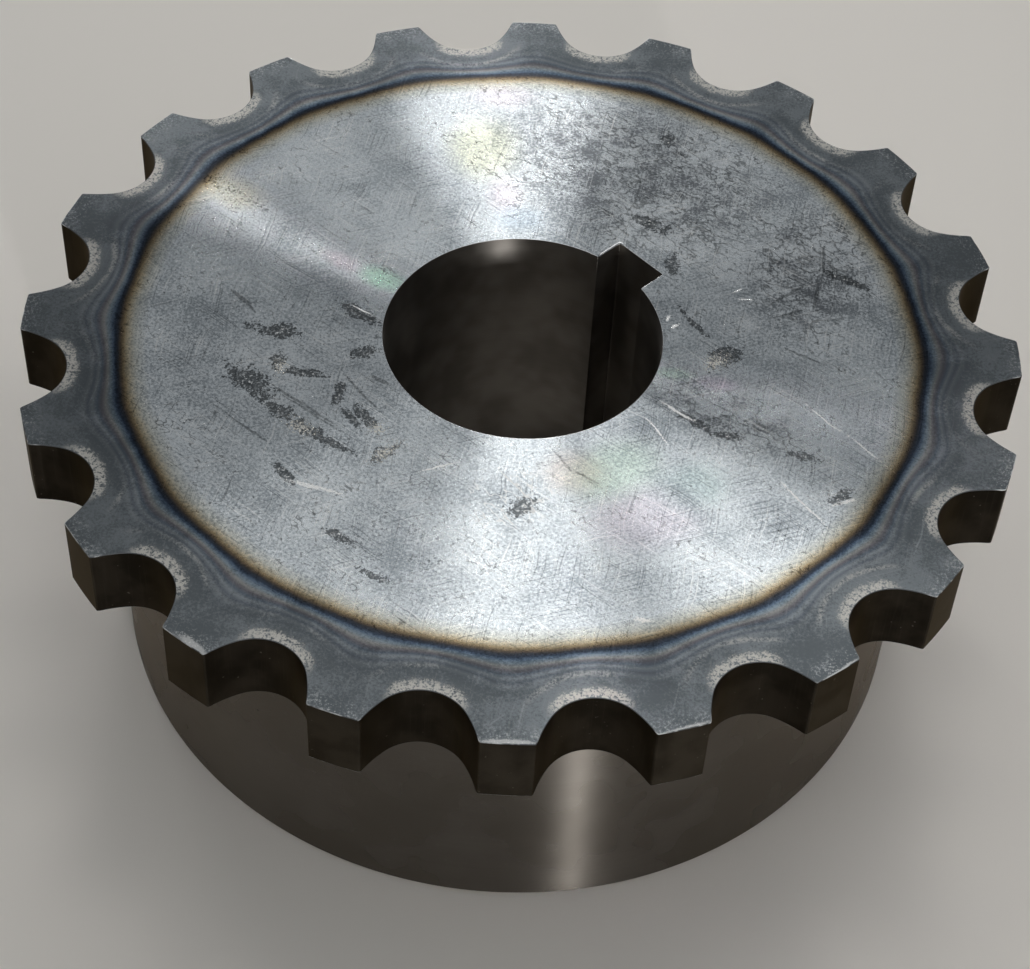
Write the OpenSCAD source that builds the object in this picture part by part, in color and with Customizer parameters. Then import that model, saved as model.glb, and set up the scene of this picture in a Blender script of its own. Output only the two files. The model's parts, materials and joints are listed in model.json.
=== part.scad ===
// Chain coupling flange: one toothed half of a shaft coupling, turned and milled from one piece of steel.
// Two halves stand face to face, and a double strand of roller chain wrapped round both sets of teeth
// joins them. A square key in the bore drives the shaft.
//
// The part stands on the end face of its hub. The bore runs along +Z towards the toothed face,
// and the keyway lies on +Y, in line with a tooth space.

/* [Chain] */
// Pitch of the roller chain that lies in the teeth
chain_pitch = 31.75; // [28:0.05:40]
// Diameter of the chain's rollers
roller_d = 19.05; // [15:0.05:21]
// Height of the chain's side plates, which run beside the teeth
side_plate_h = 30.2; // [26:0.1:34]

/* [Teeth] */
// Number of teeth round the flange
teeth = 20; // [16:1:28]
// Height of the tooth tips above the pitch circle
tip_rise = 0.1; // [-1.5:0.1:2]
// Width of the teeth along the shaft
tooth_w = 16.1; // [10:0.1:24]

/* [Hub] */
// Length of the whole flange along the shaft
overall_l = 77; // [50:0.5:120]
// Room between the hub and the inner edges of the chain's side plates
plate_gap = 1.4; // [0.5:0.1:4]
// Radius of the fillet where the hub meets the toothed flange
hub_fillet = 1.6; // [0.4:0.1:3]
// Chamfer round the hub's end face
hub_chamfer = 1.5; // [0.3:0.1:4]

/* [Bore] */
// Diameter of the bore
bore_d = 57.15; // [40:0.05:75]
// Chamfer where the bore opens into the hub's end face
bore_chamfer = 1; // [0.3:0.1:3]
// Width of the key
key_w = 12.7; // [8:0.1:18]
// Height of the key, half of which stands in the keyway
key_h = 12.7; // [8:0.1:18]
// Room left above the key
key_room = 0.13; // [0.05:0.01:0.5]

/* [Hidden] */
$fn = 96;
// Run of each cutter past the face that it breaks through
overrun = 1;
steel = [0.56, 0.57, 0.59];

pitch_r = chain_pitch / (2 * sin(180 / teeth));
tip_r = pitch_r + tip_rise;
hub_r = pitch_r - side_plate_h / 2 - plate_gap;
flange_z = overall_l - tooth_w;
bore_r = bore_d / 2;

// The key's depth counts from the chord that its corners make in the bore
key_chord_r = sqrt(pow(bore_r, 2) - pow(key_w / 2, 2));
keyway_floor = key_chord_r + key_h / 2 + key_room;

// Standard roller chain tooth form, about a roller's centre: a seat arc under the roller, a flatter
// working arc on each flank, centred on the far side of the space, and a straight flank beyond it
seat_play = 0.038;
seat_r = 1.005 * roller_d / 2 + seat_play;
seat_angle = 35 + 60 / teeth;
seat_end_y = -seat_r * sin(seat_angle);
work_reach = 0.8 * roller_d;
work_r = seat_r + work_reach;
work_x = work_reach * cos(seat_angle);
work_y = work_reach * sin(seat_angle);
flank_angle = seat_angle - (18 - 56 / teeth);
work_end_x = work_r * cos(flank_angle) - work_x;
work_end_y = work_y - work_r * sin(flank_angle);
mouth_y = max(tip_rise, 0) + overrun;
mouth_x = work_end_x + (mouth_y - work_end_y) * tan(flank_angle);

// Half section of the turned blank: the hub, the flange flush with its upper end, and the fillet between
module blank_section() {
    polygon([
        [0, 0],
        [hub_r - hub_chamfer, 0],
        [hub_r, hub_chamfer],
        [hub_r, overall_l],
        [0, overall_l]
    ]);
    translate([0, flange_z]) square([tip_r, tooth_w]);
    translate([hub_r, flange_z - hub_fillet]) difference() {
        square(hub_fillet);
        translate([hub_fillet, 0]) circle(r = hub_fillet);
    }
}

// One tooth space, with the roller's centre at the origin and the tips towards +Y
module tooth_space_outline() {
    intersection() {
        circle(r = seat_r);
        translate([-seat_r, seat_end_y - seat_r]) square([2 * seat_r, seat_r]);
    }
    intersection() {
        intersection_for(side = [-1, 1])
            translate([side * work_x, work_y]) circle(r = work_r);
        translate([-work_r, seat_end_y]) square([2 * work_r, work_end_y - seat_end_y]);
    }
    polygon([
        [-work_end_x, work_end_y],
        [work_end_x, work_end_y],
        [mouth_x, mouth_y],
        [-mouth_x, mouth_y]
    ]);
}

// The milled spaces between the teeth, the first in line with the keyway
module tooth_spaces() {
    for (i = [0 : teeth - 1])
        rotate(i * 360 / teeth)
            translate([0, pitch_r, flange_z - overrun])
                linear_extrude(tooth_w + 2 * overrun) tooth_space_outline();
}

// The bore, chamfered at the hub's end and sharp at the toothed face
module bore() {
    translate([0, 0, -overrun]) cylinder(r = bore_r, h = overall_l + 2 * overrun);
    translate([0, 0, -overrun])
        cylinder(r1 = bore_r + bore_chamfer + overrun, r2 = bore_r, h = bore_chamfer + overrun);
}

// The slot broached along the bore for the key
module keyway() {
    translate([-key_w / 2, 0, -overrun]) cube([key_w, keyway_floor, overall_l + 2 * overrun]);
}

module coupling_flange() {
    color(steel) difference() {
        rotate_extrude() blank_section();
        tooth_spaces();
        bore();
        keyway();
    }
}

coupling_flange();
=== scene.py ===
import cmath
import json
import math

import bpy
import numpy as np
from mathutils import Matrix, Vector


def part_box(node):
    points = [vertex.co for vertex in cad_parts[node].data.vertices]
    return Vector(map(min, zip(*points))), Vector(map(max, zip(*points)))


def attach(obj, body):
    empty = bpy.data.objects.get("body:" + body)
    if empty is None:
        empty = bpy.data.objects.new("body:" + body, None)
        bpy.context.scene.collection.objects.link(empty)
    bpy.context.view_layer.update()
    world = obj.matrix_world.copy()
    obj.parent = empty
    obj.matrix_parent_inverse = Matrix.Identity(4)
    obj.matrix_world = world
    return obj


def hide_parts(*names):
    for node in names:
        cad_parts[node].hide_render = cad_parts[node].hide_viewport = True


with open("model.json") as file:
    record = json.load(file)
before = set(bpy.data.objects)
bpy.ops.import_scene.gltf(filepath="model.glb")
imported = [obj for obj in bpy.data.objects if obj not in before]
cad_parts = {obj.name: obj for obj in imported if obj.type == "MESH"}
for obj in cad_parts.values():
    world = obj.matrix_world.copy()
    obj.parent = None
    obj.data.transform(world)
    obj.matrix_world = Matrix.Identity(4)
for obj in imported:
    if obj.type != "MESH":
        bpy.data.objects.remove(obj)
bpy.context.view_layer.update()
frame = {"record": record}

# The toothed rim of the flange. The blank is turned to the tip circle, its spaces are milled to the standard
# form for the chain's rollers, a seat arc and a flatter working arc on each flank, and the teeth are then
# hardened by induction and quenched, which leaves dark oxide on their walls. Their colours are painted
# nearly black: that oxide with painted shade and a painted reflection of a shadowed brown floor.
MM = 0.001
teeth = 20
chain_pitch = 31.75 * MM
roller_d = 19.05 * MM
tip_rise = 0.1 * MM
tooth_w = 16.1 * MM
seat_play = 0.038 * MM
corner_reach = math.radians(0.16)

face_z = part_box("coupling_flange")[1].z
flange_z = face_z - tooth_w
pitch_r = chain_pitch / (2 * math.sin(math.pi / teeth))
tip_r = pitch_r + tip_rise
seat_r = 1.005 * roller_d / 2 + seat_play
seat_angle = math.radians(35 + 60 / teeth)
seat_end = math.atan2(seat_r * math.cos(seat_angle), pitch_r - seat_r * math.sin(seat_angle))
work_reach = 0.8 * roller_d
work_r = seat_r + work_reach
work_x = -work_reach * math.cos(seat_angle)
work_y = pitch_r + work_reach * math.sin(seat_angle)
tooth_turn = 2 * math.pi / teeth
keyway_turn = math.pi / 2


def ray_to_circle(angle, centre_x, centre_y, radius):
    """Distance from the axis, along rays turned by angle from +Y towards +X, to where each first meets
    a circle. It is the smaller root of the quadratic in the distance, or infinite where a ray misses."""
    along = np.sin(angle) * centre_x + np.cos(angle) * centre_y
    inside = along**2 - centre_x**2 - centre_y**2 + radius**2
    return np.where(inside > 0, along - np.sqrt(np.maximum(inside, 0)), np.inf)


def tooth_outline(angle):
    """Radius of the rim at each angle: the seat arc in the middle of a tooth space, the working arc past the
    seat's end, and the tip circle where that lies nearer. The straight flanks begin above these tips."""
    off = np.abs((angle - keyway_turn + tooth_turn / 2) % tooth_turn - tooth_turn / 2)
    seat = ray_to_circle(off, 0.0, pitch_r, seat_r)
    work = ray_to_circle(off, work_x, work_y, work_r)
    return np.minimum(np.where(off < seat_end, seat, work), tip_r)


class Shade:
    """One socket of a material's nodes. Operators on it add Math nodes, and node() adds any other node."""

    def __init__(self, tree, socket=None):
        self.tree = tree
        self.socket = socket

    def node(self, kind, settings, inputs, output=0):
        """Adds a node. Its settings and a ramp's stops come first, then the links or values of its inputs."""
        made = self.tree.nodes.new(kind)
        for name, value in settings.items():
            if name != "stops":
                setattr(made, name, value)
        for i, (place, colour) in enumerate(settings.get("stops", ())):
            ramp = made.color_ramp.elements
            stop = ramp[i] if i < len(ramp) else ramp.new(place)
            stop.position = place
            stop.color = (*colour, 1)
        for key, value in inputs.items():
            if isinstance(value, Shade):
                self.tree.links.new(value.socket, made.inputs[key])
            else:
                made.inputs[key].default_value = value
        return Shade(self.tree, made.outputs[output])

    def math(self, operation, *values):
        """A Math node on these values."""
        return self.node("ShaderNodeMath", {"operation": operation}, dict(enumerate(values)))

    def __add__(self, other):
        return self.math("ADD", self, other)

    def __sub__(self, other):
        return self.math("SUBTRACT", self, other)

    def __rsub__(self, other):
        return self.math("SUBTRACT", other, self)

    def __mul__(self, other):
        return self.math("MULTIPLY", self, other)

    def __truediv__(self, other):
        return self.math("DIVIDE", self, other)

    def __pow__(self, other):
        return self.math("POWER", self, other)

    def __abs__(self):
        return self.math("ABSOLUTE", self)

    __radd__ = __add__
    __rmul__ = __mul__


def new_finish(name, **constants):
    """A finish of the steel: material, shader with these constants, and Object coordinates in millimetres."""
    material = bpy.data.materials.new(name)
    material.use_nodes = True
    shader = material.node_tree.nodes["Principled BSDF"]
    for socket, value in constants.items():
        shader.inputs[socket.replace("_", " ")].default_value = value
    start = Shade(material.node_tree)
    place = start.node("ShaderNodeTexCoord", {}, {}, "Object")
    scaled = start.node("ShaderNodeVectorMath", {"operation": "SCALE"}, {0: place, "Scale": 1 / MM})
    return material, shader, scaled


def apply_finish(shader, **sockets):
    """Links what varies over the surface to the shader's sockets."""
    for name, value in sockets.items():
        value.tree.links.new(value.socket, shader.inputs[name.replace("_", " ")])


def split(vector):
    """The three parts of a vector."""
    parts = vector.node("ShaderNodeSeparateXYZ", {}, {0: vector}).socket.node.outputs
    return [Shade(vector.tree, part) for part in parts]


def join(x, y, z):
    """A vector of three parts, the first of them a socket."""
    return x.node("ShaderNodeCombineXYZ", {}, {0: x, 1: y, 2: z})


def polar(place):
    """Distance from the axis, cosine and sine of the bearing round it, which have no seam, and height."""
    x, y, height = split(place)
    radius = (x * x + y * y) ** 0.5
    return radius, x / radius, y / radius, height


def noise(place, size, detail, roughness, dimensions="3D"):
    """Cloudy noise about 0.5, with its largest features of about this size."""
    settings = {"noise_dimensions": dimensions}
    inputs = {"Vector": place, "Scale": 1 / size, "Detail": detail, "Roughness": roughness}
    return place.node("ShaderNodeTexNoise", settings, inputs)


def step(value, low, high):
    """0 at low and 1 at high, with a smooth rise between. It falls where low is the greater."""
    inputs = {"Value": value, "From Min": low, "From Max": high}
    return value.node("ShaderNodeMapRange", {"interpolation_type": "SMOOTHSTEP"}, inputs)


def mix(share, first, second):
    """The first colour where share is 0 and the second where it is 1."""
    return share.node("ShaderNodeMix", {"data_type": "RGBA"}, {0: share, 6: first, 7: second}, 2)


# The walls' oxide is painted much darker and browner than it is: painted shade and a painted reflection of a
# shadowed brown floor. The tips' steel is painted dark in the same way, and the specular tint paints that
# warm reflection onto the walls' shine.
oxide_black_in_painted_shade = (0.0095, 0.0081, 0.0063, 1)
oxide_brown_in_painted_shade = (0.024, 0.020, 0.0153, 1)
tip_steel_in_painted_shade = (0.042, 0.0365, 0.029, 1)
bare_speck = (0.25, 0.23, 0.20, 1)
speck_share = 0.3
cutter_share = 0.3
painted_brown_reflection_tint = (0.62, 0.55, 0.46, 1)
tip_mm = tip_r / MM
stain_size = 8.0
speck_size = 0.9
# Lines left by the cutter: how many to a radian, and how fast they change along the axis
cutter_count = 350
cutter_change = 0.06

tooth_finish, shader, place = new_finish("hardened_tooth_walls_in_painted_shade", Metallic=0.9, Specular_Tint=painted_brown_reflection_tint)
radius, across, away, height = polar(place)
stains = noise(place, stain_size, detail=3.0, roughness=0.6)
specks = step(noise(place, speck_size, detail=1.0, roughness=0.5), 0.74, 0.80)
cutter_place = join(across * cutter_count, away * cutter_count, height * cutter_change)
cutter_lines = step(noise(cutter_place, size=1.0, detail=2.0, roughness=0.6), 0.5, 0.8)
on_tip = step(radius, tip_mm - 0.4, tip_mm - 0.15) * (0.3 + 0.6 * step(stains, 0.3, 0.7))
colour = mix(step(stains, 0.35, 0.65), oxide_black_in_painted_shade, oxide_brown_in_painted_shade)
colour = mix(on_tip, colour, tip_steel_in_painted_shade)
colour = mix(specks * speck_share, colour, bare_speck)
colour = mix(cutter_lines * cutter_share, colour, tip_steel_in_painted_shade)
apply_finish(shader, Base_Color=colour, Roughness=0.36 + 0.2 * stains)

# The turned upper face of the flange and hub, faced in one pass. Rubbing and handling have scuffed it dull,
# and the heat of hardening the teeth has left a ring of temper colours round the grey, quenched rim.
bare_steel = (0.70, 0.74, 0.76, 1)
dull_steel = (0.33, 0.365, 0.39, 1)
stained_steel = (0.19, 0.205, 0.22, 1)
residue = (0.05, 0.056, 0.058, 1)
bright_steel = (0.90, 0.90, 0.88, 1)
pale_wear = (0.68, 0.66, 0.61, 1)
cream_fleck = (0.64, 0.62, 0.56, 1)
quenched_dark = (0.49, 0.512, 0.523, 1)
quenched_pale = (0.78, 0.80, 0.81, 1)
# Temper colours outwards, as distances in millimetres from the axis and shares of the bare steel's colour
darkest_r = 81.8
temper = [
    (76.0, (1.0, 1.0, 1.0)),
    (78.4, (0.86, 0.82, 0.73)),
    (79.8, (0.66, 0.55, 0.39)),
    (80.6, (0.38, 0.28, 0.165)),
    (81.2, (0.16, 0.115, 0.075)),
    (darkest_r, (0.05, 0.05, 0.055)),
    (82.4, (0.045, 0.06, 0.09)),
    (82.9, (0.15, 0.20, 0.27)),
    (83.5, (0.36, 0.43, 0.48)),
    (84.1, (0.50, 0.49, 0.47)),
    (84.8, (0.27, 0.255, 0.275)),
    (85.5, (0.23, 0.27, 0.32)),
    (86.2, (0.42, 0.45, 0.47)),
    (87.0, (0.26, 0.285, 0.32)),
    (87.8, (0.39, 0.415, 0.43)),
    (88.7, (0.30, 0.325, 0.345)),
    (91.0, (0.35, 0.375, 0.39)),
]
# Marks torn in the dull skin, as the camera sees the face: right, away, half length, half width, turn
torn = [
    (-54.0, -15.5, 6.4, 2.6, -48),
    (-48.0, -23.0, 4.0, 1.7, -30),
    (-42.0, -28.0, 5.5, 1.6, -39),
    (-37.0, -31.5, 4.5, 1.1, -30),
    (-50.0, -1.0, 5.2, 2.0, -8),
    (-48.5, -9.8, 1.7, 2.2, -8),
    (-43.0, -12.8, 4.2, 1.2, -8),
    (-36.5, -18.0, 3.2, 1.2, 78),
    (-30.5, -25.0, 4.6, 1.3, -55),
    (-34.0, -24.5, 3.5, 0.8, -55),
    (-34.0, 5.0, 5.0, 1.5, -30),
    (-32.0, -6.5, 3.0, 1.5, 20),
    (-46.0, -39.5, 3.6, 1.1, -48),
    (-26.5, -33.5, 3.8, 1.4, 39),
    (40.5, -4.5, 4.6, 2.3, 39),
    (35.0, 5.0, 4.8, 0.7, -55),
    (33.0, -22.0, 6.0, 1.0, -39),
    (40.0, -26.0, 3.8, 1.0, -8),
    (31.5, 22.0, 3.6, 1.6, 78),
    (27.0, 35.0, 4.5, 1.6, -30),
    (31.5, 62.0, 2.4, 1.6, 78),
    (68.0, 19.0, 6.5, 1.0, -30),
    (0.0, -46.0, 3.4, 2.4, 20),
    (55.5, -31.0, 4.0, 1.1, -16),
    (62.0, -41.0, 3.4, 1.3, 39),
    (-34.0, -55.5, 3.0, 1.0, -30),
    (-27.0, -64.5, 3.4, 0.8, -30),
]
# Clusters of cream flecks in those marks, in the same terms
flecked = [
    (-43.5, -27.5, 2.6, 1.5, -39),
    (-28.4, -27.0, 1.6, 1.3, -55),
    (-26.5, -33.5, 3.0, 1.3, 39),
    (-48.0, -11.3, 1.2, 1.8, -8),
    (39.0, -6.0, 2.4, 1.6, 39),
]
# Parts of the face that are mottled the most, in the same terms
mottled = [
    (24.0, 50.0, 40.0, 27.0, -30),
    (60.0, 22.0, 24.0, 15.0, 78),
    (40.0, -20.0, 20.0, 9.0, -30),
]
# The parts with the most stray dots, and with fine scribbled scratches, in the same terms
dotted = (-22.0, -54.0, 30.0, 17.0, -30)
scribbled = (-2.0, -44.0, 11.0, 9.0, 20)
# Knocked edges of the nearest tips, in the same terms
burrs = [
    (-59.5, -82.0, 4.5, 1.1, -39),
    (-2.0, -101.1, 5.5, 0.7, 0),
    (29.5, -97.1, 5.5, 0.6, 20),
    (58.0, -83.0, 5.0, 0.6, 39),
]
# Single scratches, in the same terms
scratches = [
    (-39.7, -42.8, 6.4, 0.6, -16),
    (60.5, -21.0, 6.5, 0.2, -48),
    (68.0, -29.0, 7.5, 0.2, -48),
    (-16.5, -36.8, 4.5, 0.25, 20),
    (29.6, 6.2, 1.0, 0.4, 78),
    (31.3, 4.2, 1.1, 0.5, 39),
    (22.5, -72.8, 1.7, 0.6, -8),
    (-33.0, 5.6, 3.2, 0.2, -30),
    (30.5, -20.0, 5.0, 0.35, -39),
    (-1.5, -41.0, 5.0, 0.25, -55),
    (-3.0, -49.0, 3.5, 0.2, -55),
    (46.0, 12.5, 1.6, 0.22, 0),
    (44.5, 15.0, 1.4, 0.2, 39),
    (25.5, -25.0, 5.5, 0.2, -55),
    (76.0, -50.0, 7.0, 0.2, 78),
    (0.5, -95.0, 3.4, 0.25, 78),
    (-4.0, -96.5, 2.4, 0.25, 39),
    (28.0, -90.0, 4.0, 0.2, 78),
    (54.0, -43.0, 7.5, 0.3, -55),
    (62.5, -42.5, 2.6, 0.5, 20),
]
# Dark cuts, in the same terms
cuts = [
    (-43.5, -21.0, 10.0, 0.35, -39),
    (-41.5, -23.5, 8.0, 0.3, -39),
    (-53.5, -28.5, 5.5, 0.3, -39),
    (-57.5, 7.5, 4.5, 0.6, -48),
    (-32.0, -17.5, 6.0, 0.35, -55),
    (-28.5, -14.0, 2.8, 0.6, -30),
    (54.5, 14.0, 6.0, 0.4, 39),
    (60.5, 14.0, 5.0, 0.4, 78),
    (54.5, 8.6, 4.5, 0.35, 20),
    (63.5, 25.0, 6.0, 0.4, 78),
    (57.5, -3.5, 5.0, 0.35, -30),
    (8.0, -34.0, 4.5, 0.3, -55),
    (12.5, -38.0, 4.0, 0.3, -30),
]
# Painted rainbow sheen, where the fine turning marks split the light: right, away, half length, half width,
# turn, tint
painted_rainbow_sheen = [
    (-9.0, 57.0, 10.0, 13.0, 0, (1.0, 0.96, 0.66, 1)),
    (-5.0, 75.0, 9.0, 5.0, 0, (1.0, 0.86, 0.90, 1)),
    (-4.0, 42.0, 5.0, 7.0, 0, (1.0, 0.86, 0.91, 1)),
    (-1.0, 35.0, 7.0, 5.0, 0, (0.84, 0.92, 1.0, 1)),
    (10.0, -37.0, 8.0, 7.0, 0, (1.0, 0.84, 0.74, 1)),
    (18.0, -36.0, 12.0, 9.0, 39, (0.86, 1.0, 0.82, 1)),
    (24.0, -48.0, 14.0, 10.0, 20, (1.0, 0.86, 0.93, 1)),
    (33.0, -40.0, 10.0, 8.0, 39, (0.88, 1.0, 0.95, 1)),
    (-29.0, 15.0, 7.0, 4.0, -30, (0.60, 1.0, 0.72, 1)),
    (-38.0, 20.0, 6.0, 3.0, -30, (1.0, 0.84, 0.88, 1)),
    (-62.0, 40.0, 9.0, 6.0, -30, (1.0, 0.90, 0.68, 1)),
    (30.0, -9.5, 5.0, 2.0, -8, (0.82, 1.0, 0.84, 1)),
    (39.0, -12.0, 6.0, 2.5, -8, (1.0, 0.86, 0.96, 1)),
]


def frame_of(place, centre=(0, 0, 0), turn=0, size=(1, 1, 1)):
    """Coordinates about a centre, turned by degrees and counted in these sizes."""
    inputs = {"Vector": place, "Location": centre, "Rotation": (0, 0, math.radians(turn)), "Scale": size}
    return place.node("ShaderNodeMapping", {"vector_type": "TEXTURE"}, inputs)


def length_of(vector):
    """The length of a vector."""
    return vector.node("ShaderNodeVectorMath", {"operation": "LENGTH"}, {0: vector}, 1)


def least(first, second):
    """The lesser of two values, the first of them a socket."""
    return first.math("MINIMUM", first, second)


def tinted(share, colour, glaze):
    """A colour seen through a glaze, their product, by this share."""
    settings = {"data_type": "RGBA", "blend_type": "MULTIPLY"}
    return colour.node("ShaderNodeMix", settings, {0: share, 6: colour, 7: glaze}, 2)


face_finish, shader, place = new_finish("turned_face", Anisotropic=1.0, Anisotropic_Rotation=0.25)
radius, across, away, _ = polar(place)

# The face as the camera sees it, right and away, with its noises from broad clouds down to fine dust
seen_turn = 46.16
seen = frame_of(place, (0, 0, face_z / MM), seen_turn)
clouds = noise(seen, size=18.0, detail=2.0, roughness=0.6, dimensions="2D")
blotches = noise(seen, size=4.2, detail=4.0, roughness=0.72, dimensions="2D")
lace = noise(seen, size=0.95, detail=2.0, roughness=0.7, dimensions="2D")
grain = noise(seen, size=0.6, detail=2.0, roughness=0.8, dimensions="2D")
dust = noise(seen, size=0.42, detail=1.0, roughness=0.6, dimensions="2D")
crumbs = lace * 0.6 + dust * 0.4
ragged = blotches * 0.35 + grain * 0.65

# The same, swayed a little so that no mark is straight, and turned to each bearing that the marks have
sway_right = 3.0
sway_away = 0.8
mean_sway = (sway_right / 2, sway_away / 2, 0)
mark_turns = (-55, -48, -39, -30, -16, -8, 0, 20, 39, 78)
sway = join(clouds * sway_right, blotches * sway_away, 0)
swayed = seen.node("ShaderNodeVectorMath", {"operation": "ADD"}, {0: seen, 1: sway})
seen_at = {turn: frame_of(swayed, mean_sway, turn) for turn in mark_turns}


def in_oval(right, far, half_length, half_width, turn):
    """Distance from the centre of a turned oval on the face, counted in its half length and half width."""
    centre = complex(right, far) * cmath.exp(-1j * math.radians(turn))
    grow = (1 / half_length, 1 / half_width, 0)
    shift = (-centre.real / half_length, -centre.imag / half_width, 0)
    settings = {"operation": "MULTIPLY_ADD"}
    return length_of(seen.node("ShaderNodeVectorMath", settings, {0: seen_at[turn], 1: grow, 2: shift}))


def nearest_oval(spots):
    """The least of the distances from the ovals' centres."""
    nearest = in_oval(*spots[0])
    for spot in spots[1:]:
        nearest = least(nearest, in_oval(*spot))
    return nearest


# Bare steel: dull clouds, a fine grain and faint turning rings, and stained blotches where it is mottled
rings_per_mm = 2.2
ring_inputs = {"W": radius, "Scale": rings_per_mm, "Detail": 2.0}
turning = radius.node("ShaderNodeTexNoise", {"noise_dimensions": "1D"}, ring_inputs)
worked = step(nearest_oval(mottled), 1.15, 0.4)
mottling = (blotches - 0.5) * (0.25 + 0.5 * worked) + (grain - 0.5) * 0.62
tone = step((clouds - 0.5) * 0.3 + mottling + (turning - 0.5) * 0.10, -0.16, 0.13)
colour = mix(tone, mix(worked, dull_steel, stained_steel), bare_steel)

# Hairline scratches, light and dark: their turn, and their length and width in millimetres
hairlines = ((-39, 20, 0.26), (20, 16, 0.24), (78, 18, 0.26))
light_share = 0.45
dark_share = 0.4
hairs = []
for turn, length, width in hairlines:
    hair_place = frame_of(seen_at[turn], (turn, 0, 0), size=(length, width, 1))
    hair = noise(hair_place, size=1.0, detail=0.0, roughness=0.5, dimensions="2D")
    hairs.append(hair + clouds * 0.25)
light_hairs = sum(step(hair, 0.87, 0.98) for hair in hairs)
dark_hairs = sum(step(hair, 0.36, 0.27) for hair in hairs)

# Fine dark curls where the face is most mottled
curl_turn = -39
curl_size = 3.6
curl_stretch = (1.7, 1, 1)
curl_share = 0.6
curl_place = frame_of(seen_at[curl_turn], size=curl_stretch)
ridges = abs(noise(curl_place, curl_size, detail=2.0, roughness=0.6, dimensions="2D") - 0.5)
curled = step(clouds * 0.5 + blotches * 0.5 + worked * 0.12, 0.50, 0.62)
curls = step(ridges, 0.02 + 0.03 * worked, 0.01) * curled
colour = mix(dark_hairs * dark_share + curls * curl_share, colour, residue)
colour = mix(light_hairs * light_share, colour, bright_steel)

# Torn marks are ragged ovals with a black lace in them, and there are cuts and stray dark dots besides
cut_share = 0.7
dirt_share = 0.78
marks = step(nearest_oval(torn) + (crumbs - 0.5) * 2.4 + (blotches - 0.5) * 2.2, 1.0, 0.85)
scuffed = step(in_oval(*dotted), 1.1, 0.5)
strays = step(lace * 0.62 + blotches * 0.38 + worked * 0.02 + scuffed * 0.03, 0.615, 0.645)
cut = step(nearest_oval(cuts) + (lace - 0.5), 1.0, 0.7)
dirt = least(marks + strays + cut * cut_share, 1.0) * (0.6 + 0.4 * step(crumbs, 0.58, 0.46))
colour = mix(dirt * dirt_share, colour, residue)

# Flecks of cream, and bright specks and scratches
bright_share = 0.8
scribble_share = 0.7
flecks = step(nearest_oval(flecked) + (dust - 0.5) * 5 + (grain - 0.5) * 4, 0.45, 0.15)
specked = step(clouds + marks * 0.2, 0.42, 0.58)
specks = step(crumbs + marks * 0.07 + scuffed * 0.03, 0.66, 0.72) * specked
scribbles = step(ridges, 0.022, 0.012) * step(in_oval(*scribbled), 1.0, 0.6)
broken = step(lace * 0.5 + blotches * 0.5, 0.34, 0.46)
scored = step(nearest_oval(scratches) + (crumbs - 0.5) * 2.8, 1.0, 0.7) * broken
scored = scored + scribbles * scribble_share
colour = mix(flecks, colour, cream_fleck)
colour = mix(specks * bright_share + scored, colour, bright_steel)

# Faint patches of painted rainbow sheen
gleam_share = 0.6
for *oval, tint in painted_rainbow_sheen:
    gleam = step(in_oval(*oval), 1.1, 0.3)
    colour = tinted(gleam * gleam_share, colour, tint)

# The heat came in from the tooth spaces, so the temper bands dip towards the axis under each of them.
# The coil that gave it stood a little off the axis, and the bands fray on their inner side
coil_centre = (-0.15, 0.55, 0.0)
clean_r = 83.5
frayed_r = 80.5
quench_start = 81.5
quench_full = 84.5
quenched_share = 0.92
heat_r = length_of(frame_of(seen, coil_centre))
bearing = radius.math("ARCTAN2", away, across)
wave = bearing.math("COSINE", bearing * teeth)
dip = 0.2 + 0.22 * heat_r.math("MAXIMUM", heat_r - darkest_r, 0.0)
frayed = (blotches * 0.9 + grain * 0.6 - 0.75) * (0.2 + 0.8 * step(heat_r, clean_r, frayed_r))
heat = heat_r + wave * dip + (clouds - 0.5) * 0.9 + frayed
coolest, hottest = temper[0][0], temper[-1][0]
stops = [((r - coolest) / (hottest - coolest), share) for r, share in temper]
bands = heat.node("ShaderNodeValToRGB", {"stops": stops}, {0: (heat - coolest) / (hottest - coolest)})
quenched = step(heat, quench_start, quench_full)
rim_tone = step(clouds * 0.4 + blotches * 0.3 + grain * 0.3, 0.42, 0.58)
plain_rim = mix(rim_tone, quenched_dark, quenched_pale)
colour = tinted(1.0, mix(quenched * quenched_share, colour, plain_rim), bands)

# Pale wear hugs the seats, and a fainter arc lies outside it
arc_distance = 5.6
arc_share = 0.5
worn_share = 0.95
local = bearing.math("WRAP", bearing - keyway_turn, tooth_turn / 2, -tooth_turn / 2)
space_x = radius * local.math("SINE", local)
space_y = pitch_r / MM - radius * local.math("COSINE", local)
from_centre = (space_x * space_x + space_y * space_y) ** 0.5
from_seat = from_centre - seat_r / MM
under_seat = step(space_y / from_centre, 0.54, 0.88)
worn = step(from_seat + (ragged - 0.5) * 4.2, 0.6 + 2.2 * under_seat, 1.6 * under_seat)
worn = worn * step(crumbs, 0.36, 0.54)
arc = step(abs(from_seat - arc_distance + (clouds - 0.5) * 3), 0.9, 0.1)
arc = arc * under_seat * step(ragged, 0.40, 0.60) * step(clouds, 0.40, 0.60)
pale = worn * under_seat * worn_share + arc * arc_share
colour = mix(pale, colour, pale_wear)

# The tips are knocked bright
knock_reach = 5.0
knock_share = 0.5
burr_share = 0.6
rim_hair_share = 0.05
knocks = step(radius, tip_mm - knock_reach, tip_mm) * step(ragged, 0.53, 0.65)
burred = step(nearest_oval(burrs) + (ragged - 0.5) * 2, 1.0, 0.6)
rim_hairs = light_hairs * quenched * rim_hair_share
colour = mix(knocks * knock_share + burred * burr_share + rim_hairs, colour, bright_steel)

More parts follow.
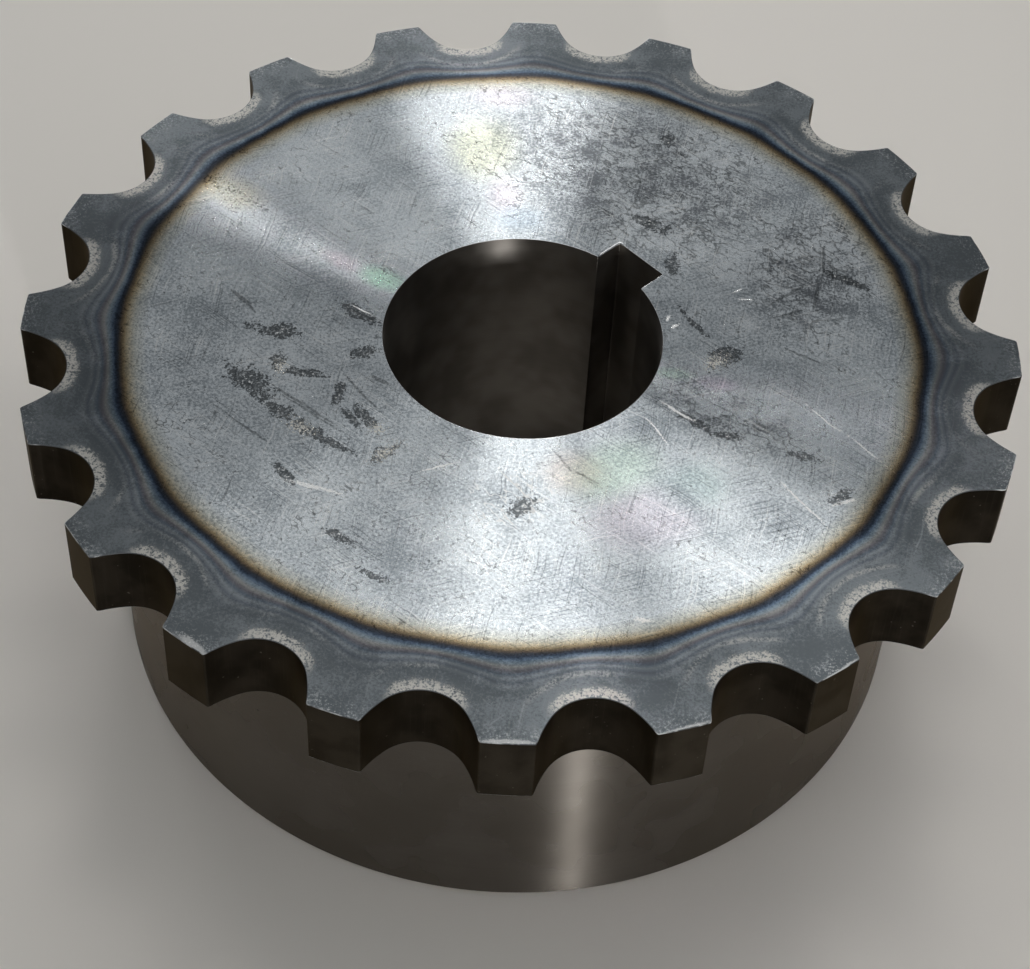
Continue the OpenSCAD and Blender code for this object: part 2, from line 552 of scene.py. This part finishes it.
# Flecks, scratches and pale wear are matt, and the quenched rim is the roughest
matt = least(flecks + scored + specks * 0.5 + pale * 0.35, 1.0)
apply_finish(
    shader,
    Base_Color=colour,
    Metallic=1.0 - 0.9 * matt,
    Roughness=0.36 - 0.09 * tone + dirt * 0.10 + quenched * 0.30,
)

# The broken edges round the face, the teeth and the bore, a fraction of a millimetre wide. Handling has
# rubbed them bright on the tips and at the bore, and in the tooth spaces they stay dark.
edge_dark = (0.10, 0.105, 0.11, 1)
edge_bright = (0.60, 0.61, 0.61, 1)
rub_size = 2.6
rub_reach = 2.5
arc_samples = 9
# Edges nearer the axis than half the pitch circle are the bore's
bore_side = pitch_r / MM / 2

edge_finish, shader, place = new_finish("rubbed_edges", Metallic=1.0)
radius = polar(place)[0]
on_tip = step(radius, tip_mm - rub_reach, tip_mm - 0.3)
by_bore = step(radius, bore_side, bore_side - 1)
rubbed = step(noise(place, rub_size, detail=2.0, roughness=0.6), 0.40, 0.60) * on_tip + by_bore
apply_finish(shader, Base_Color=mix(rubbed, edge_dark, edge_bright), Roughness=0.45 - 0.14 * rubbed)


def rounded(outline, angle, reach):
    """The outline's radius, averaged over a short arc to either side of each angle to round its corners."""
    shifts = np.linspace(-reach, reach, arc_samples)
    return outline(angle[:, None] + shifts).mean(1)


# The bore and its keyway, which are open right through. The bore is turned, with a chamfer at the hub's end,
# and the slot for the square key is broached, with sharp corners.
bore_mount = next(m for m in frame["record"]["mounts"] if m["name"] == "bore")
bore_r = bore_mount["dims"]["r_mm"] * MM
bore_chamfer = face_z - bore_mount["dims"]["length_mm"] * MM
key_w = 12.7 * MM
key_h = 12.7 * MM
key_room = 0.13 * MM
keyway_floor = math.sqrt(bore_r**2 - (key_w / 2) ** 2) + key_h / 2 + key_room
key_corner_reach = math.radians(0.25)
near_zero = 1e-6
# The bore's steel is painted darker and browner than bare steel: painted shade of the recess and a painted
# warm reflection, over its real clouded tone.
bore_dark_painted_shade = (0.235, 0.216, 0.193, 1)
bore_pale_painted_shade = (0.38, 0.353, 0.321, 1)
groove_grey = (0.5, 0.5, 0.5, 1)
plain_white = (1, 1, 1, 1)
groove_share = 0.3
# Lines left by the tool: how many to a millimetre of height, and how fast they change round the axis
bore_lines = 3.0
bore_change = 5.0
bore_shine = {"Metallic": 1.0, "Anisotropic": 0.8, "Anisotropic_Rotation": 0.25}


def bore_outline(angle):
    """Radius of the bore at each angle, or of the keyway's floor or side wall where that lies further out."""
    across = np.abs(np.sin(angle - keyway_turn))
    along = np.cos(angle - keyway_turn)
    floor_r = keyway_floor / np.maximum(along, near_zero)
    side_r = key_w / 2 / np.maximum(across, near_zero)
    slot = np.minimum(floor_r, side_r)
    return np.where(along > 0, np.maximum(bore_r, slot), bore_r)


bore_finish, shader, place = new_finish("turned_bore", **bore_shine)
_, across, away, height = polar(place)
clouds = noise(place, size=12.0, detail=2.0, roughness=0.6)
tool_place = join(height * bore_lines, across * bore_change, away * bore_change)
tool_lines = noise(tool_place, size=1.0, detail=2.0, roughness=0.6)
colour = mix(step(clouds, 0.3, 0.7), bore_dark_painted_shade, bore_pale_painted_shade)
colour = tinted(groove_share, colour, mix(tool_lines, groove_grey, plain_white))
apply_finish(shader, Base_Color=colour, Roughness=0.26 + 0.12 * clouds)

# The hub, one with the flange: a plain turned cylinder under it, a little smaller than the inner edges
# of the chain's side plates, with a fillet under the flange and a chamfer round the foot.
side_plate_h = 30.2 * MM
plate_gap = 1.4 * MM
hub_r = pitch_r - side_plate_h / 2 - plate_gap
hub_fillet = 1.6 * MM
hub_chamfer = 1.5 * MM
# The hub's steel is painted far darker and browner than bare steel: painted shade and a painted reflection of
# a shadowed brown floor, over its real clouded tone and rubs.
hub_dark_painted_shade = (0.140, 0.126, 0.110, 1)
hub_pale_painted_shade = (0.172, 0.157, 0.139, 1)
hub_rub_in_painted_shade = (0.20, 0.19, 0.18, 1)
rub_share = 0.25
# Lines left by the tool, in the same terms as the bore's
hub_lines = 4.0
hub_change = 4.0
# Its specular tint paints the same warm brown reflection onto the hub's shine.
hub_shine = {
    "Metallic": 1.0,
    "Specular_Tint": (0.86, 0.79, 0.71, 1),
    "Anisotropic": 1.0,
    "Anisotropic_Rotation": 0.25,
}

hub_finish, shader, place = new_finish("turned_hub", **hub_shine)
_, across, away, height = polar(place)
clouds = noise(place, size=22.0, detail=2.0, roughness=0.6)
tool_place = join(height * hub_lines, across * hub_change, away * hub_change)
tool_lines = noise(tool_place, size=1.0, detail=2.0, roughness=0.6)
rubs = step(noise(place, size=1.5, detail=3.0, roughness=0.7), 0.60, 0.72)
colour = mix(step(clouds, 0.3, 0.7), hub_dark_painted_shade, hub_pale_painted_shade)
colour = tinted(groove_share, colour, mix(tool_lines, groove_grey, plain_white))
colour = mix(rubs * rub_share, colour, hub_rub_in_painted_shade)
apply_finish(shader, Base_Color=colour, Roughness=0.25 + 0.05 * clouds)

# The whole steel piece is one closed surface: columns run round the axis and rings follow its section, out
# over the toothed face, down the teeth, in to the hub, down to the foot and back up the bore.
columns = 1600
fine_columns = 40000
corner_pull = 8 * MM
edge_break = 0.14 * MM
bore_break = 0.08 * MM
keyway_break = 0.4 * MM
smooth_limit = math.radians(12)
edge_rings = 4
fillet_rings = 12
face_shares = (0.2, 0.4, 0.6, 0.8)


def outline_columns():
    """Angles of the columns. They are evenly spaced along a sum of both outlines' length and turning,
    so that they crowd together where either outline bends."""
    angle = np.linspace(0, 2 * math.pi, fine_columns + 1)
    travel = np.zeros(fine_columns)
    for outline, reach in ((tooth_outline, corner_reach), (bore_outline, key_corner_reach)):
        stride = np.diff(rounded(outline, angle, reach) * np.exp(1j * angle))
        bend = np.abs(np.angle(stride / np.roll(stride, 1)))
        travel += np.abs(stride) + corner_pull * bend
    run = np.concatenate([[0], np.cumsum(travel)])
    return np.interp(np.arange(columns) * run[-1] / columns, run, angle)


def outline_points(outline, angle, reach):
    """Points of an outline and its outward normals, as complex numbers: the normal is the tangent between
    neighbouring points turned a quarter turn clockwise."""
    point = rounded(outline, angle, reach) * np.exp(1j * angle)
    tangent = np.roll(point, -1) - np.roll(point, 1)
    return point, -1j * tangent / np.abs(tangent)


angle = outline_columns()
rim, rim_out = outline_points(tooth_outline, angle, corner_reach)
wall, wall_out = outline_points(bore_outline, angle, key_corner_reach)
spoke = np.exp(1j * angle)
edge_sweep = np.linspace(0, math.pi / 2, edge_rings)
fillet_sweep = np.linspace(0, math.pi / 2, fillet_rings)
finishes = [face_finish, edge_finish, tooth_finish, hub_finish, bore_finish]
rings = []
zones = []


def add_ring(finish, plan, height):
    """Adds a ring, its plan as complex numbers, and the finish of the band from it to the next ring."""
    rings.append(np.stack([plan.real, plan.imag, np.full(plan.shape, height)], -1))
    zones.append(finishes.index(finish))


def add_edge(plan, inset, level, rise, sweep, beyond):
    """Adds a quarter round between a wall, where the sweep is 0, and a level face, where it is a right angle:
    the plan moves by 1 less the cosine, the height by 1 less the sine. Beyond it lies the next finish."""
    for a in sweep:
        add_ring(edge_finish, plan + inset * (1 - math.cos(a)), level + rise * (1 - math.sin(a)))
    zones[-1] = finishes.index(beyond)


# Over the edge of the bore, which is broken the most along one side of the keyway, and out across the face
in_keyway = np.clip((np.abs(wall) - bore_r) / keyway_break, 0, 1)
in_keyway = in_keyway * (wall.real < 2 * keyway_break - key_w / 2)
wall_break = bore_break + (keyway_break - bore_break) * in_keyway
add_edge(wall, wall_out * wall_break, face_z, -wall_break, edge_sweep, face_finish)
for share in face_shares:
    add_ring(face_finish, wall + (rim - wall) * share, face_z)
# Down the teeth and in under the flange
rim_inset = -rim_out * edge_break
add_edge(rim, rim_inset, face_z, -edge_break, edge_sweep[::-1], tooth_finish)
add_ring(tooth_finish, rim, face_z - tooth_w / 2)
add_edge(rim, rim_inset, flange_z, edge_break, edge_sweep, hub_finish)
for a in fillet_sweep:
    fillet_r = hub_r + hub_fillet * (1 - math.sin(a))
    add_ring(hub_finish, spoke * fillet_r, flange_z - hub_fillet * (1 - math.cos(a)))
# Down the hub, round its foot and back up the bore
for level in (flange_z / 2, hub_chamfer):
    add_ring(hub_finish, spoke * hub_r, level)
add_ring(hub_finish, spoke * (hub_r - hub_chamfer), 0.0)
add_ring(bore_finish, spoke * np.maximum(np.abs(wall), bore_r + bore_chamfer), 0.0)
for level in (bore_chamfer, face_z / 2):
    add_ring(bore_finish, wall, level)

surface = np.stack(rings).astype(np.float32)
corner = np.arange(len(rings) * columns, dtype=np.int32).reshape(len(rings), columns)
after = np.roll(corner, -1, 0)
quads = np.stack([corner, after, np.roll(after, -1, 1), np.roll(corner, -1, 1)], -1)
mesh = bpy.data.meshes.new("coupling_flange_steel")
mesh.vertices.add(corner.size)
mesh.vertices.foreach_set("co", surface.ravel())
mesh.loops.add(quads.size)
mesh.loops.foreach_set("vertex_index", quads.ravel())
mesh.polygons.add(corner.size)
mesh.polygons.foreach_set("loop_start", np.arange(0, quads.size, 4, dtype=np.int32))
for finish in finishes:
    mesh.materials.append(finish)
mesh.polygons.foreach_set("material_index", np.repeat(zones, columns).astype(np.int32))
mesh.update(calc_edges=True)
mesh.shade_smooth()
mesh.set_sharp_from_angle(angle=smooth_limit)
flange = bpy.data.objects.new("coupling_flange_steel", mesh)
bpy.context.scene.collection.objects.link(flange)
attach(flange, "root")
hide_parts("coupling_flange")

# The floor of the studio, a plain, matt, pale board that the part stands on. It is laid wide enough
# that no low view sees its end.
floor_half = 20.0
floor_pale = (0.80, 0.76, 0.70, 1)
floor_roughness = 0.8
floor_corners = ((-1, -1), (1, -1), (1, 1), (-1, 1))
floor_mesh = bpy.data.meshes.new("floor")
floor_plan = [(x * floor_half, y * floor_half, 0) for x, y in floor_corners]
floor_mesh.from_pydata(floor_plan, [], [(0, 1, 2, 3)])
floor = bpy.data.objects.new("floor", floor_mesh)
bpy.context.scene.collection.objects.link(floor)
floor_paint = bpy.data.materials.new("floor_paint")
floor_paint.use_nodes = True
floor_shader = floor_paint.node_tree.nodes["Principled BSDF"]
floor_shader.inputs["Base Color"].default_value = floor_pale
floor_shader.inputs["Roughness"].default_value = floor_roughness
floor_mesh.materials.append(floor_paint)

# The studio: a camera at the photograph's place, soft lamps and a grey room that is brighter overhead.
# The two lowest lamps have a narrow beam, so that they light the part and little of the floor.
camera_azimuth = math.radians(44.1)
camera_elevation = math.radians(48.65)
camera_roll = math.radians(3.36)
camera_distance = 471.4 * MM
camera_target = Vector((28.4 * MM, -29.05 * MM, face_z))
camera_data = bpy.data.cameras.new("camera")
camera_data.sensor_width = 36.0
camera_data.sensor_fit = "HORIZONTAL"
camera_data.lens = 85.51
camera = bpy.data.objects.new("camera", camera_data)
bpy.context.scene.collection.objects.link(camera)
camera_turn = Matrix.Rotation(camera_azimuth, 4, "Z")
camera_turn = camera_turn @ Matrix.Rotation(math.pi / 2 - camera_elevation, 4, "X")
camera_turn = camera_turn @ Matrix.Rotation(camera_roll, 4, "Z")
camera_place = camera_target + camera_turn.to_3x3() @ Vector((0, 0, camera_distance))
camera.matrix_world = Matrix.Translation(camera_place) @ camera_turn
bpy.context.scene.camera = camera


def add_lamp(name, bearing, elevation, power, size, distance=1.4, beam=180):
    """A soft oblong lamp that faces the part, its bearing clockwise from straight away from the camera."""
    lamp_data = bpy.data.lights.new(name, "AREA")
    lamp_data.shape = "RECTANGLE"
    lamp_data.size, lamp_data.size_y = size
    lamp_data.energy = power
    lamp_data.spread = math.radians(beam)
    lamp = bpy.data.objects.new(name, lamp_data)
    heading = math.radians(90 + seen_turn - bearing)
    rise = math.radians(elevation)
    toward = Vector((math.cos(heading) * math.cos(rise), math.sin(heading) * math.cos(rise), math.sin(rise)))
    lamp.location = distance * toward + Vector((0, 0, face_z))
    lamp.rotation_euler = toward.to_track_quat("Z", "Y").to_euler()
    bpy.context.scene.collection.objects.link(lamp)


add_lamp("overhead_lamp", bearing=5, elevation=74, power=1.7, size=(0.3, 0.3))
add_lamp("far_lamp", bearing=-0.5, elevation=17, power=3.1, size=(0.28, 0.28))
add_lamp("far_left_lamp", bearing=-25, elevation=11.6, power=0.09, size=(0.05, 0.05), beam=40)
add_lamp("left_lamp", bearing=-40, elevation=64, power=0.8, size=(0.45, 0.45))
add_lamp("right_lamp", bearing=60, elevation=60, power=0.26, size=(0.15, 0.15), distance=0.45)
add_lamp("near_lamp", bearing=164, elevation=5, power=0.17, size=(0.03, 0.12), beam=22)

# Tones of the room, from the horizon up to the zenith
room_tones = [
    (0.0, (0.06, 0.06, 0.065)),
    (0.3, (0.14, 0.145, 0.15)),
    (0.65, (0.36, 0.37, 0.38)),
    (1.0, (0.36, 0.37, 0.38)),
]
world = bpy.data.worlds.new("room")
world.use_nodes = True
room = world.node_tree.nodes["Background"]
sky = Shade(world.node_tree)
up = split(sky.node("ShaderNodeTexCoord", {}, {}, "Generated"))[2]
tones = sky.node("ShaderNodeValToRGB", {"stops": room_tones}, {0: up})
world.node_tree.links.new(tones.socket, room.inputs["Color"])
room.inputs["Strength"].default_value = 1.0
bpy.context.scene.world = world
bpy.context.scene.view_settings.view_transform = "Standard"
